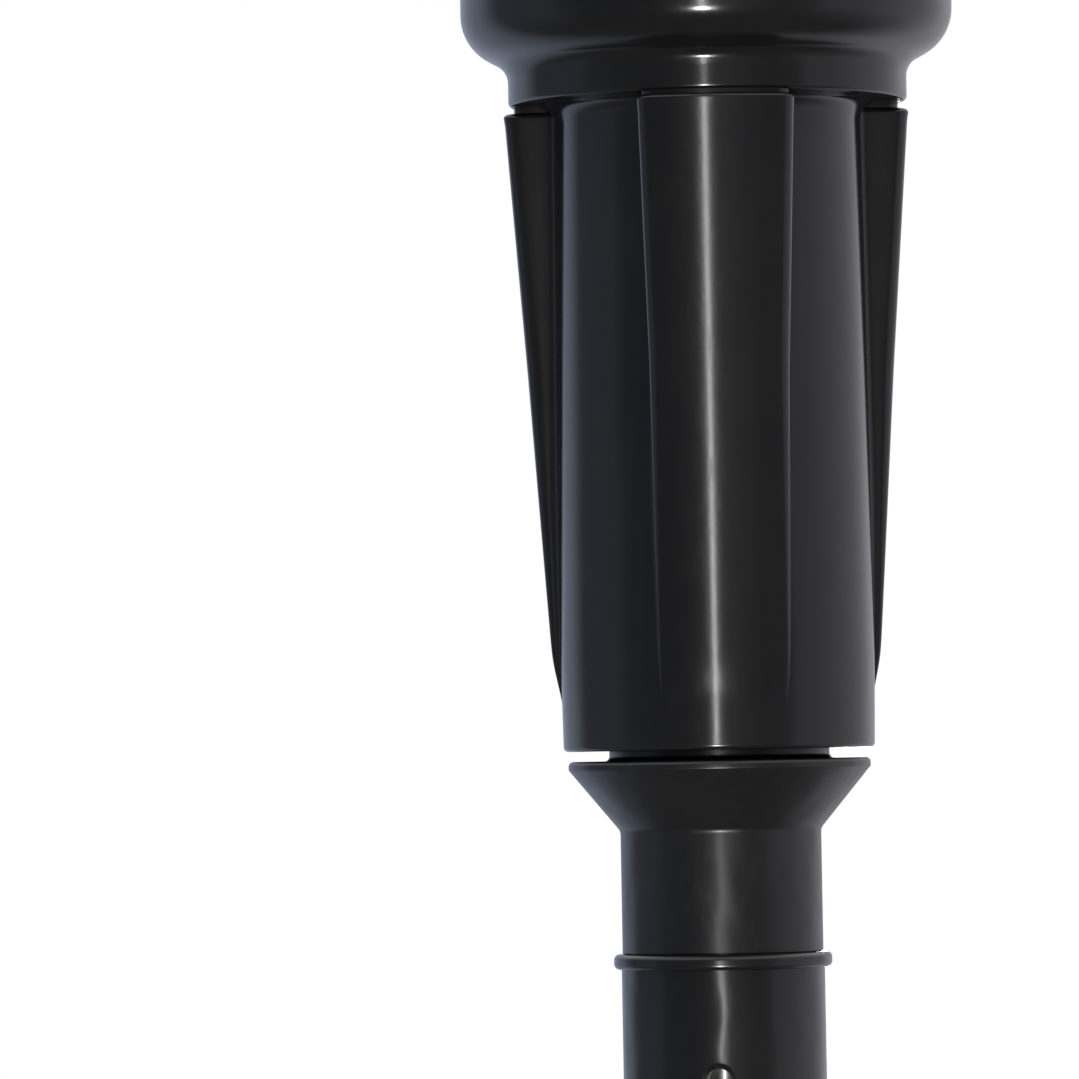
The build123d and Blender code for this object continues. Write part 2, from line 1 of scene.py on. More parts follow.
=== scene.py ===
import bpy
import math
from mathutils import Matrix, Vector


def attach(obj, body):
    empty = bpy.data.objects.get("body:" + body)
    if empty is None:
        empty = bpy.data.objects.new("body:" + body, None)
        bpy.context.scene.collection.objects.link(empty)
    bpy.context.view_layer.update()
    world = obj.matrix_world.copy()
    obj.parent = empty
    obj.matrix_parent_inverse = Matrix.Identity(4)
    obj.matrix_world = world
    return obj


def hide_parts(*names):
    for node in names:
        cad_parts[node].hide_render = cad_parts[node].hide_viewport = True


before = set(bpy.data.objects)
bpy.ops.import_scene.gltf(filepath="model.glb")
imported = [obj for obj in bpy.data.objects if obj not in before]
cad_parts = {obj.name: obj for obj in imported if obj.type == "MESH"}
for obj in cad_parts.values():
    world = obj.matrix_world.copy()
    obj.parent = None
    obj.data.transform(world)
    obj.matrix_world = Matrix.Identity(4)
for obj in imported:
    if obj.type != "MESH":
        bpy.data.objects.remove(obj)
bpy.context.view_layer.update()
MM = 0.001


# ---------------------------------------------------------------- materials
def new_material(name, colour, roughness, metallic=0.0):
    """A principled material whose even values sit on the shader's own sockets."""
    material = bpy.data.materials.new(name)
    material.use_nodes = True
    shader = material.node_tree.nodes["Principled BSDF"]
    shader.inputs["Base Color"].default_value = (*colour, 1.0)
    shader.inputs["Roughness"].default_value = roughness
    shader.inputs["Metallic"].default_value = metallic
    return material, material.node_tree, shader


def noise(tree, scale, detail=3.0, stretch=(1.0, 1.0, 1.0)):
    """Noise in the piece's own coordinates; stretch squeezes it along each axis."""
    where = tree.nodes.new("ShaderNodeTexCoord")
    mapping = tree.nodes.new("ShaderNodeMapping")
    mapping.inputs["Scale"].default_value = stretch
    texture = tree.nodes.new("ShaderNodeTexNoise")
    texture.inputs["Scale"].default_value = scale
    texture.inputs["Detail"].default_value = detail
    tree.links.new(where.outputs["Object"], mapping.inputs["Vector"])
    tree.links.new(mapping.outputs["Vector"], texture.inputs["Vector"])
    return texture.outputs[0]


def between(tree, factor, low, high, start=0.3, end=0.7):
    """The factor spread from low at the start to high at the end."""
    node = tree.nodes.new("ShaderNodeMapRange")
    node.inputs["From Min"].default_value = start
    node.inputs["From Max"].default_value = end
    node.inputs["To Min"].default_value = low
    node.inputs["To Max"].default_value = high
    tree.links.new(factor, node.inputs["Value"])
    return node.outputs["Result"]


def blend_colour(tree, factor, one, other):
    """Two close tones mixed by the factor."""
    node = tree.nodes.new("ShaderNodeMix")
    node.data_type = "RGBA"
    node.inputs["A"].default_value = (*one, 1.0)
    node.inputs["B"].default_value = (*other, 1.0)
    tree.links.new(factor, node.inputs["Factor"])
    return node.outputs["Result"]


def bump(tree, shader, height, distance, before=None):
    """Relief of the given depth in metres, on top of an earlier bump if there is one."""
    node = tree.nodes.new("ShaderNodeBump")
    node.inputs["Distance"].default_value = distance
    node.inputs["Strength"].default_value = 1.0
    tree.links.new(height, node.inputs["Height"])
    if before is not None:
        tree.links.new(before.outputs["Normal"], node.inputs["Normal"])
    tree.links.new(node.outputs["Normal"], shader.inputs["Normal"])
    return node


def gloss_plastic(name, roughness, waviness, wave_scale, stretch):
    """Black moulded plastic: soft sink waves, a faint haze and fine handling marks."""
    material, tree, shader = new_material(name, (0.0055, 0.0055, 0.0058), roughness)
    haze = noise(tree, 90.0, 4.0)
    tone = between(tree, haze, 0.0, 1.0)
    colour = blend_colour(tree, tone, (0.0045, 0.0045, 0.0049), (0.0066, 0.0065, 0.0067))
    tree.links.new(colour, shader.inputs["Base Color"])
    marks = noise(tree, 1300.0, 4.0, (1.0, 1.0, 0.3))
    spread = between(tree, marks, roughness * 0.95, roughness * 1.2, 0.5, 0.8)
    tree.links.new(spread, shader.inputs["Roughness"])
    waves = bump(tree, shader, noise(tree, wave_scale, 1.0, stretch), waviness)
    bump(tree, shader, noise(tree, 2600.0, 2.0), 0.0000012, waves)
    return material


def satin_plastic():
    """Black moulded nylon of the inside pieces."""
    material, tree, shader = new_material("black_satin", (0.018, 0.018, 0.019), 0.42)
    tone = between(tree, noise(tree, 260.0, 4.0), 0.0, 1.0)
    colour = blend_colour(tree, tone, (0.015, 0.015, 0.016), (0.024, 0.024, 0.025))
    tree.links.new(colour, shader.inputs["Base Color"])
    spread = between(tree, noise(tree, 1500.0, 3.0), 0.36, 0.5)
    tree.links.new(spread, shader.inputs["Roughness"])
    grain = bump(tree, shader, noise(tree, 2400.0, 3.0), 0.000008)
    bump(tree, shader, noise(tree, 160.0, 1.0), 0.00002, grain)
    return material


def rubber():
    """Nitrile seals: dull, faintly dusty black."""
    material, tree, shader = new_material("seal_rubber", (0.014, 0.014, 0.014), 0.62)
    tone = between(tree, noise(tree, 420.0, 5.0), 0.0, 1.0, 0.35, 0.75)
    colour = blend_colour(tree, tone, (0.011, 0.011, 0.0115), (0.028, 0.027, 0.026))
    tree.links.new(colour, shader.inputs["Base Color"])
    spread = between(tree, noise(tree, 900.0, 3.0), 0.54, 0.72)
    tree.links.new(spread, shader.inputs["Roughness"])
    bump(tree, shader, noise(tree, 3200.0, 4.0), 0.000012)
    return material


def acetal():
    """Natural acetal: milky white, slightly translucent, with flow tone changes."""
    material, tree, shader = new_material("natural_acetal", (0.78, 0.76, 0.7), 0.34)
    tone = between(tree, noise(tree, 140.0, 3.0, (1.0, 1.0, 0.4)), 0.0, 1.0)
    colour = blend_colour(tree, tone, (0.74, 0.72, 0.655), (0.82, 0.805, 0.75))
    tree.links.new(colour, shader.inputs["Base Color"])
    spread = between(tree, noise(tree, 1100.0, 3.0), 0.29, 0.4)
    tree.links.new(spread, shader.inputs["Roughness"])
    shader.inputs["Subsurface Weight"].default_value = 0.12
    shader.inputs["Subsurface Radius"].default_value = (0.0012, 0.001, 0.0008)
    bump(tree, shader, noise(tree, 1900.0, 3.0), 0.000005)
    return material


def metal(name, dark, light, low, high, scale, stretch, relief):
    """Metal with a grain that follows the way it was made."""
    material, tree, shader = new_material(name, light, (low + high) / 2, 1.0)
    grain = noise(tree, scale, 4.0, stretch)
    tone = between(tree, grain, 0.0, 1.0)
    tree.links.new(blend_colour(tree, tone, dark, light), shader.inputs["Base Color"])
    spread = between(tree, noise(tree, scale * 1.7, 3.0, stretch), low, high)
    tree.links.new(spread, shader.inputs["Roughness"])
    bump(tree, shader, grain, relief)
    return material


BODY_BLACK = gloss_plastic("black_gloss_body", roughness=0.15, waviness=0.000006,
                           wave_scale=90.0, stretch=(1.0, 1.0, 0.5))
SPOUT_BLACK = gloss_plastic("black_gloss_spout", roughness=0.31, waviness=0.00016,
                            wave_scale=230.0, stretch=(1.0, 1.0, 0.8))
TIP_BLACK = gloss_plastic("black_gloss_tip", roughness=0.2, waviness=0.00012,
                          wave_scale=230.0, stretch=(1.0, 1.0, 0.8))
LOOKS = {
    "black_gloss": BODY_BLACK,
    "black_satin": satin_plastic(),
    "seal_rubber": rubber(),
    "natural_acetal": acetal(),
    "steel_mesh": metal("steel_mesh", dark=(0.42, 0.42, 0.41), light=(0.6, 0.6, 0.59),
                        low=0.24, high=0.36, scale=1800.0, stretch=(1.0, 1.0, 1.0),
                        relief=0.000004),
    "spring_steel": metal("spring_steel", dark=(0.3, 0.31, 0.33), light=(0.44, 0.45, 0.47),
                          low=0.26, high=0.38, scale=1500.0, stretch=(1.0, 1.0, 4.0),
                          relief=0.000004),
    "ball_steel": metal("ball_steel", dark=(0.6, 0.6, 0.6), light=(0.68, 0.68, 0.675),
                        low=0.05, high=0.09, scale=2500.0, stretch=(1.0, 1.0, 1.0),
                        relief=0.0000004),
    "aluminium_tube": metal("aluminium_tube", dark=(0.7, 0.71, 0.72), light=(0.86, 0.865, 0.87),
                            low=0.24, high=0.36, scale=1600.0, stretch=(1.0, 1.0, 0.03),
                            relief=0.000005),
}
SLOTS = {
    "black_gloss": ("coupling_nut", "nozzle_body", "spout_tube", "tip_tube"),
    "black_satin": ("clamp_ring", "strainer_frame", "piston_head", "guide_bush", "vent_cage"),
    "seal_rubber": ("clamp_seal", "can_gasket", "plug_seal", "piston_seal", "wiper_ring",
                    "vent_guide_seal"),
    "natural_acetal": ("nut_slip_ring", "plug_carrier", "valve_plug", "piston_backup_ring",
                       "vent_cap", "vent_guide"),
    "steel_mesh": ("strainer_mesh",),
    "spring_steel": ("carrier_clip",),
    "ball_steel": ("vent_ball",),
    "aluminium_tube": ("vent_tube",),
}


def dress(obj, material):
    """Gives a piece one material."""
    obj.data.materials.clear()
    obj.data.materials.append(material)


# ---------------------------------------------------------------- light, floor and camera
# Room: (azimuth in degrees, level) as seen from the object, the camera's side at CAMERA_AZIMUTH
CAMERA_AZIMUTH = -2.5
ROOM = [(-180, 0.5), (-152, 0.55), (-138, 0.62), (-130, 0.5), (-121, 0.22), (-96, 0.3),
        (-84, 0.32), (-74, 0.18), (-50, 0.13), (-32, 0.13), (-24, 0.17), (-15, 0.25),
        (-7, 0.36), (6, 0.38), (15, 0.3), (25, 0.22), (35, 0.2), (49, 0.25), (55, 0.52),
        (70, 0.56), (98, 0.72), (117, 0.72), (143, 0.8), (155, 0.6), (180, 0.5)]
COOL_SIDE = (0.86, 0.98, 1.24)
FRONT_TINT = (1.0, 0.985, 1.04)
WARM_SIDE = (0.985, 0.985, 1.06)
SIDE_START = 20.0
SIDE_WIDTH = 50.0
# Ranges of the direction's upward part, and of its part towards the camera
SHADE_RISE = (-0.8, -0.35)
SHADE_FRONT = (-0.75, -0.25)
SHADE_COLOUR = (0.12, 0.12, 0.125)
CEILING_RISE = (0.25, 0.65)
CEILING_COLOUR = (1.3, 1.3, 1.32)
# Lamps: sizes and distances in metres, angles in degrees
LAMP_DISTANCE = 1.1
LAMP_AIM = Vector((0.0, 0.0, -0.06))
KEY_AZIMUTH = -4.3
KEY_ELEVATION = -13.5
BACK_AZIMUTH = 176.0
BACK_ELEVATION = -5.0
SPOT_ELEVATION = -33.0
STRIP_WIDTH = 0.02
BACK_STRIP_WIDTH = 0.03
STRIP_LENGTH = 0.65
SPOT_SIZE = 0.03
STRIP_POWER = 1.7
SPOT_POWER = 5.0
FLOOR_Z = -0.1525
FLOOR_RADIUS = 0.42
FLOOR_SIDES = 128
# Camera: angles in degrees, the rest in metres apart from the sensor's width in mm
CAMERA_HEADING = 1.27
CAMERA_ROLL = 1.02
CAMERA_DISTANCE = 0.820
CAMERA_SIDEWAYS = -0.0176
CAMERA_Z = -0.08869
AIM_Z = -0.06719
FRAME_WIDTH = 0.1079
SENSOR_WIDTH = 36.0


def room_colour(azimuth, level):
    """Level of the room's light towards an azimuth, slightly blue on the left."""
    cool = min(1.0, max(0.0, (-azimuth - SIDE_START) / SIDE_WIDTH))
    warm = min(1.0, max(0.0, (azimuth - SIDE_START) / SIDE_WIDTH))
    mixed = [front * (1 - cool - warm) + left * cool + right * warm
             for front, left, right in zip(FRONT_TINT, COOL_SIDE, WARM_SIDE)]
    return (*[level * part for part in mixed], 1.0)


def calculated(tree, operation, first):
    """A math node with its first input linked."""
    node = tree.nodes.new("ShaderNodeMath")
    node.operation = operation
    tree.links.new(first, node.inputs[0])
    return node


def covered(tree, factor, under, colour):
    """A colour laid over another one by the factor."""
    node = tree.nodes.new("ShaderNodeMix")
    node.data_type = "RGBA"
    node.inputs["B"].default_value = (*colour, 1.0)
    tree.links.new(factor, node.inputs["Factor"])
    tree.links.new(under, node.inputs["A"])
    return node.outputs["Result"]


def studio_world():
    """White ground for the camera; for reflections a room, dark low in front and bright above."""
    world = bpy.data.worlds.new("studio")
    bpy.context.scene.world = world
    world.use_nodes = True
    tree = world.node_tree
    tree.nodes.clear()
    output = tree.nodes.new("ShaderNodeOutputWorld")
    ground = tree.nodes.new("ShaderNodeBackground")
    ground.inputs["Color"].default_value = (1.0, 1.0, 1.0, 1.0)
    ground.inputs["Strength"].default_value = 1.0
    room = tree.nodes.new("ShaderNodeBackground")
    choose = tree.nodes.new("ShaderNodeMixShader")
    path = tree.nodes.new("ShaderNodeLightPath")
    where = tree.nodes.new("ShaderNodeTexCoord")
    split = tree.nodes.new("ShaderNodeSeparateXYZ")
    tree.links.new(where.outputs["Generated"], split.inputs["Vector"])
    towards = calculated(tree, "MULTIPLY", split.outputs["Y"])
    towards.inputs[1].default_value = -1.0
    turn = calculated(tree, "ARCTAN2", split.outputs["X"])
    tree.links.new(towards.outputs[0], turn.inputs[1])
    share = between(tree, turn.outputs[0], 0.0, 1.0,
                    math.radians(-180 - CAMERA_AZIMUTH), math.radians(180 - CAMERA_AZIMUTH))
    ramp = tree.nodes.new("ShaderNodeValToRGB")
    band = ramp.color_ramp
    for extra in range(len(ROOM) - 2):
        band.elements.new((extra + 1) / len(ROOM))
    for stop, (azimuth, level) in zip(band.elements, ROOM):
        stop.position = (azimuth + 180) / 360
        stop.color = room_colour(azimuth, level)
    tree.links.new(share, ramp.inputs["Fac"])
    low = between(tree, split.outputs["Z"], 1.0, 0.0, *SHADE_RISE)
    front = between(tree, towards.outputs[0], 0.0, 1.0, *SHADE_FRONT)
    both = calculated(tree, "MULTIPLY", low)
    tree.links.new(front, both.inputs[1])
    shaded = covered(tree, both.outputs[0], ramp.outputs["Color"], SHADE_COLOUR)
    high = between(tree, split.outputs["Z"], 0.0, 1.0, *CEILING_RISE)
    tree.links.new(covered(tree, high, shaded, CEILING_COLOUR), room.inputs["Color"])
    tree.links.new(path.outputs["Is Camera Ray"], choose.inputs["Fac"])
    tree.links.new(room.outputs[0], choose.inputs[1])
    tree.links.new(ground.outputs[0], choose.inputs[2])
    tree.links.new(choose.outputs[0], output.inputs["Surface"])


def lamp(name, shape, width, height, power, azimuth, elevation):
    """Area lamp that faces the middle of the grip and stays out of the camera's sight."""
    data = bpy.data.lights.new(name, "AREA")
    data.shape = shape
    data.size = width
    data.size_y = height
    data.energy = power
    holder = bpy.data.objects.new(name, data)
    bpy.context.scene.collection.objects.link(holder)
    azimuth = math.radians(azimuth)
    elevation = math.radians(elevation)
    out = Vector((math.sin(azimuth) * math.cos(elevation),
                  -math.cos(azimuth) * math.cos(elevation),
                  math.sin(elevation)))
    holder.location = LAMP_AIM + out * LAMP_DISTANCE
    holder.rotation_mode = "QUATERNION"
    holder.rotation_quaternion = out.to_track_quat("Z", "Y")
    holder.visible_camera = False


def floor():
    """Plain pale disc under the object, out of the camera's frame."""
    vertices = [(FLOOR_RADIUS * math.cos(2 * math.pi * i / FLOOR_SIDES),
                 FLOOR_RADIUS * math.sin(2 * math.pi * i / FLOOR_SIDES), FLOOR_Z)
                for i in range(FLOOR_SIDES)]
    mesh = bpy.data.meshes.new("floor")
    mesh.from_pydata(vertices, [], [list(range(FLOOR_SIDES))])
    plate = bpy.data.objects.new("floor", mesh)
    bpy.context.scene.collection.objects.link(plate)
    material, tree, shader = new_material("pale_floor", (0.86, 0.86, 0.86), 0.7)
    tone = between(tree, noise(tree, 14.0, 3.0), 0.0, 1.0)
    colour = blend_colour(tree, tone, (0.84, 0.84, 0.84), (0.88, 0.88, 0.88))
    tree.links.new(colour, shader.inputs["Base Color"])
    mesh.materials.append(material)
    plate.visible_glossy = False
    plate.visible_shadow = False


def camera():
    """The camera of the product picture: a long lens from the front, looking slightly upwards."""
    heading = math.radians(CAMERA_HEADING)
    roll = math.radians(CAMERA_ROLL)
    ahead = Vector((math.sin(heading), math.cos(heading), 0.0))
    right = Vector((math.cos(heading), -math.sin(heading), 0.0))
    place = right * CAMERA_SIDEWAYS - ahead * CAMERA_DISTANCE
    place.z = CAMERA_Z
    aim = right * CAMERA_SIDEWAYS
    aim.z = AIM_Z
    forward = (aim - place).normalized()
    up = right.cross(forward)
    rolled_up = up * math.cos(roll) + right * math.sin(roll)
    rolled_right = right * math.cos(roll) - up * math.sin(roll)
    turn = Matrix((rolled_right, rolled_up, -forward)).transposed()
    data = bpy.data.cameras.new("camera")
    data.sensor_width = SENSOR_WIDTH
    data.lens = SENSOR_WIDTH * CAMERA_DISTANCE / FRAME_WIDTH
    data.clip_start = 0.01
    data.clip_end = 20.0
    holder = bpy.data.objects.new("camera", data)
    bpy.context.scene.collection.objects.link(holder)
    holder.matrix_world = Matrix.Translation(place) @ turn.to_4x4()
    bpy.context.scene.camera = holder


# ---------------------------------------------------------------- shapes
# Sizes are in mm; ARC_STEP and the SHARP_EDGE values are in degrees
ARC_STEP = 6
SHARP_EDGE = 28.0


def rounded(outline, step=None):
    """Points of a closed outline of (radius, height) or (radius, height, rounding) corners.

    Rounded corners become arcs, and a step splits the longer runs.
    """
    count = len(outline)
    points = []
    for index, corner in enumerate(outline):
        here = Vector(corner[:2])
        if len(corner) < 3:
            points.append(here)
            continue
        before = (Vector(outline[index - 1][:2]) - here).normalized()
        after = (Vector(outline[(index + 1) % count][:2]) - here).normalized()
        opening = before.angle(after)
        reach = corner[2] / math.tan(opening / 2)
        centre = here + (before + after).normalized() * (corner[2] / math.sin(opening / 2))
        start = here + before * reach - centre
        end = here + after * reach - centre
        sweep = math.atan2(start.cross(end), start.dot(end))
        steps = max(3, round(abs(math.degrees(sweep)) / ARC_STEP))
        for k in range(steps + 1):
            turned = Matrix.Rotation(sweep * k / steps, 2) @ start
            points.append(centre + turned)
    if step is None:
        return points
    fine = []
    for index, point in enumerate(points):
        following = points[(index + 1) % len(points)]
        parts = max(1, math.ceil((following - point).length / step))
        fine.extend(point.lerp(following, k / parts) for k in range(parts))
    return fine


def make_piece(name, vertices, faces, sharp=SHARP_EDGE):
    """A mesh object from points in mm, smooth except at edges sharper than the given angle."""
    mesh = bpy.data.meshes.new(name)
    mesh.from_pydata([(x * MM, y * MM, z * MM) for x, y, z in vertices], [], faces)
    mesh.validate()
    mesh.shade_smooth()
    mesh.set_sharp_from_angle(angle=math.radians(sharp))
    piece = bpy.data.objects.new(name, mesh)
    bpy.context.scene.collection.objects.link(piece)
    return piece


def even_angles(count):
    """Columns of a turned piece, evenly round the axis."""
    return [2 * math.pi * k / count for k in range(count)]


def lathe(outline, angles, shape=None):
    """Points and faces of a closed outline turned about Z; shape may change a point's radius."""
    vertices = []
    for radius, height in outline:
        for angle in angles:
            r = shape(radius, height, angle) if shape else radius
            vertices.append((r * math.cos(angle), r * math.sin(angle), height))
    rows, columns = len(outline), len(angles)
    faces = []
    for row in range(rows):
        for column in range(columns):
            a = row * columns + column
            b = row * columns + (column + 1) % columns
            c = (row + 1) % rows * columns + (column + 1) % columns
            d = (row + 1) % rows * columns + column
            faces.append((a, d, c, b))
    return vertices, faces


def merge(parts):
    """Several sets of points and faces as one."""
    vertices, faces = [], []
    for more_vertices, more_faces in parts:
        start = len(vertices)
        vertices.extend(more_vertices)
        faces.extend(tuple(start + index for index in face) for face in more_faces)
    return vertices, faces


def bar(inner, outer, width, top, bottom, angle):
    """Radial rib as points and faces."""
    out = (math.cos(angle), math.sin(angle))
    side = (-out[1], out[0])
    corners = [(x * out[0] + y * side[0], x * out[1] + y * side[1], z)
               for z in (bottom, top) for x, y in ((inner, -width / 2), (outer, -width / 2),
                                                   (outer, width / 2), (inner, width / 2))]
    faces = [(3, 2, 1, 0), (4, 5, 6, 7), (0, 1, 5, 4), (1, 2, 6, 5), (2, 3, 7, 6), (3, 0, 4, 7)]
    return corners, faces


# Body outline, as the CAD draws it
BODY = [(17.92, -4.0), (17.92, -9.5), (18.4, -9.5), (18.4, -18.0), (21.6, -18.0), (21.6, -9.5),
        (24.6, -9.5, 2.98), (24.6, -17.65, 4.98), (19.95, -20.2, 2.2), (19.95, -23.9, 0.5),
        (15.2, -23.9, 2.0), (15.7, -79.5), (15.55, -88.5, 0.5), (12.6, -88.5), (12.6, -30.0),
        (13.7, -30.0), (13.7, -26.62), (14.4, -26.62), (14.4, -25.58), (13.7, -25.58),
        (13.7, -20.0), (15.2, -11.5), (15.2, -4.0)]
BODY_COLUMNS = 240
# The grip's core: radius at its top, at the bend near its lower end, and at that end
CORE_TOP = -23.9
CORE_TOP_R = 15.2
CORE_BEND = -79.5
CORE_BEND_R = 15.7
CORE_END = -88.5
CORE_END_R = 15.55
# Pocket ribs under the bead: inner and outer radius, width, top and bottom
RIB = (18.2, 21.8, 1.6, -9.5, -18.2)
RIB_COUNT = 12
# Fins: a taper, then a ramp down to just under the core
FIN_COUNT = 3
FIN_TOP = -24.3
FIN_TOP_R = 20.7
FIN_RAMP_TOP = -79.3
FIN_RAMP_TOP_R = 16.65
FIN_RAMP_LENGTH = 5.3
FIN_RAMP_END_R = 15.43
FIN_BOTTOM = -85.6
FIN_TAPER = (FIN_TOP_R - FIN_RAMP_TOP_R) / (FIN_TOP - FIN_RAMP_TOP)
FIN_RAMP_TAPER = (FIN_RAMP_TOP_R - FIN_RAMP_END_R) / FIN_RAMP_LENGTH
FIN_HALF = math.radians(23.4)
FIN_EDGE = 1.5
FIN_ROOT = 1.0
FIN_ROUND_SHARE = 0.45
FIN_LEAST_RISE = 0.004
FIN_SINK = 0.5
# The stub that joins a fin to the neck above it
FIN_JOINT_R = 19.7
FIN_JOINT_TOP = -23.0
FIN_JOINT_INSET = 0.007
FIN_LIP = 0.1
FIN_LIP_LENGTH = 0.8
FIN_LIP_ROUND = 0.5
# How softly the ramp starts and how softly it ends in the core
FIN_BEND = 0.6
FIN_RUN_OUT = 0.08
# Rows of a fin: fine near both ends, coarse between
FIN_FINE_ABOVE = -28.0
FIN_FINE_BELOW = -77.0
FIN_FINE_STEP = 0.15
FIN_COARSE_STEP = 0.6
FIN_LIP_STEPS = 6
# Steps round a fin's section
FACE_STEPS = 14
EDGE_STEPS = 8
FLANK_STEPS = 3
ROOT_STEPS = 9
INNER_STEPS = 6


def core_radius(height):
    """Radius of the grip's core between the fins."""
    if height > CORE_BEND:
        share = (CORE_TOP - height) / (CORE_TOP - CORE_BEND)
        return CORE_TOP_R + share * (CORE_BEND_R - CORE_TOP_R)
    share = (CORE_BEND - height) / (CORE_BEND - CORE_END)
    return CORE_BEND_R + share * (CORE_END_R - CORE_BEND_R)


def eased(value, softness):
    """The value where it is positive, zero elsewhere, with the corner between them rounded."""
    return max(value, 0.0) + softness * math.log1p(math.exp(-abs(value) / softness))


def fin_radius(height):
    """Radius of a fin's outer face: a slight lip, the taper, then a ramp into the core."""
    below = FIN_TOP - height
    ramp = eased(FIN_RAMP_TOP - height, FIN_BEND)
    lip = FIN_LIP * math.exp(-(below / FIN_LIP_LENGTH) ** 2)
    plain = FIN_TOP_R - below * FIN_TAPER - ramp * (FIN_RAMP_TAPER - FIN_TAPER) + lip
    return core_radius(height) + eased(plain - core_radius(height), FIN_RUN_OUT)


def polar(radius, angle):
    """Point at a radius and an angle."""
    return radius * math.cos(angle), radius * math.sin(angle)


def arc(centre_radius, centre_angle, radius, start, end, steps):
    """Points of an arc round a centre given by its radius and angle."""
    middle = polar(centre_radius, centre_angle)
    points = []
    for k in range(steps + 1):
        away = polar(radius, start + (end - start) * k / steps)
        points.append((middle[0] + away[0], middle[1] + away[1]))
    return points


def fin_section(height, top, half):
    """One fin's section: outer arc, rounded edges, flanks and root fillets into the core."""
    core = core_radius(height)
    rise = max(top - core, FIN_LEAST_RISE)
    edge = min(FIN_EDGE, FIN_ROUND_SHARE * rise)
    root = min(FIN_ROOT, FIN_ROUND_SHARE * rise)
    edge_angle = half - math.asin(edge / (top - edge))
    root_angle = half + math.asin(root / (core + root))
    right = [polar(top, edge_angle * k / FACE_STEPS) for k in range(FACE_STEPS)]
    right += arc(top - edge, edge_angle, edge, edge_angle, half + math.pi / 2, EDGE_STEPS)
    outer_end = math.sqrt((top - edge) ** 2 - edge ** 2)
    root_end = math.sqrt((core + root) ** 2 - root ** 2)
    for k in range(1, FLANK_STEPS):
        right.append(polar(outer_end + (root_end - outer_end) * k / FLANK_STEPS, half))
    right += arc(core + root, root_angle, root, half - math.pi / 2, root_angle - math.pi,
                 ROOT_STEPS)
    for k in range(INNER_STEPS):
        right.append(polar(core - FIN_SINK, root_angle * (1 - k / INNER_STEPS)))
    left = [(x, -y) for x, y in reversed(right[1:])]
    return right + [(core - FIN_SINK, 0.0)] + left


def fin_rows():
    """Height, outer radius and half angle of each of a fin's rows, from the top down."""
    rows = [(height, FIN_JOINT_R, FIN_HALF - FIN_JOINT_INSET)
            for height in (FIN_JOINT_TOP, FIN_TOP)]
    for k in range(FIN_LIP_STEPS + 1):
        turn = math.pi / 2 * k / FIN_LIP_STEPS
        inset = FIN_LIP_ROUND * (1 - math.sin(turn))
        height = FIN_TOP - FIN_LIP_ROUND * (1 - math.cos(turn))
        rows.append((height, fin_radius(height) - inset, FIN_HALF - inset / FIN_TOP_R))
    height = FIN_TOP - FIN_LIP_ROUND
    while height > FIN_BOTTOM:
        fine = height > FIN_FINE_ABOVE or height < FIN_FINE_BELOW
        height -= FIN_FINE_STEP if fine else FIN_COARSE_STEP
        if fin_radius(height) - core_radius(height) < FIN_LEAST_RISE:
            break
        rows.append((height, fin_radius(height), FIN_HALF))
    return rows


def fin_mesh(direction):
    """One fin as points and faces, facing the given angle."""
    rows = fin_rows()
    vertices, faces = [], []
    for height, top, half in rows:
        for x, y in fin_section(height, top, half):
            vertices.append((x * math.cos(direction) - y * math.sin(direction),
                             x * math.sin(direction) + y * math.cos(direction), height))
    width = len(vertices) // len(rows)
    for row in range(len(rows) - 1):
        for k in range(width):
            a = row * width + k
            b = row * width + (k + 1) % width
            faces.append((a, a + width, b + width, b))
    faces.append(tuple(range(width)))
    faces.append(tuple(reversed(range((len(rows) - 1) * width, len(rows) * width))))
    return vertices, faces


def build_body():
    """Grip moulding: turned shell, pocket ribs and three fins."""
    parts = [lathe(rounded(BODY), even_angles(BODY_COLUMNS))]
    for k in range(RIB_COUNT):
        parts.append(bar(*RIB, 2 * math.pi * k / RIB_COUNT))
    for k in range(FIN_COUNT):
        parts.append(fin_mesh(-math.pi / 2 + 2 * math.pi * k / FIN_COUNT))
    return make_piece("grip_body", *merge(parts))


# Spout with the sliding shaft, pull flange and upper tube; the tube ends 0.14 below the CAD's
SPOUT = [(8.5, -58.2), (10.0, -58.2), (10.0, -63.5), (11.0, -63.5), (11.0, -88.99),
         (11.0, -89.5, 0.5), (15.1, -89.5, 0.5), (15.1, -90.35, 0.25), (10.03, -96.5, 1.0),
         (10.03, -108.74, 0.12), (9.3, -108.74), (9.3, -117.0), (8.5, -117.0)]
TUBE_COLUMNS = 216
SHAFT_R = 11.0
SHAFT_END = -89.0
# Keyway down the back of the shaft
KEY_FLOOR = 10.2
KEY_HALF = math.asin(1.5 / SHAFT_R)
KEY_EDGE = 0.0008


def spout_shape(radius, height, angle):
    """Flat-floored keyway down the back of the shaft."""
    off = abs(angle - math.pi / 2)
    if off <= KEY_HALF and abs(radius - SHAFT_R) < 0.001 and height > SHAFT_END:
        return KEY_FLOOR / math.cos(off)
    return radius


def build_spout():
    """Upper spout moulding."""
    edges = [math.pi / 2 + side * (KEY_HALF + gap) for side in (-1, 1) for gap in (0.0, KEY_EDGE)]
    angles = sorted(even_angles(TUBE_COLUMNS) + edges)
    return make_piece("spout_upper", *lathe(rounded(SPOUT), angles, spout_shape))


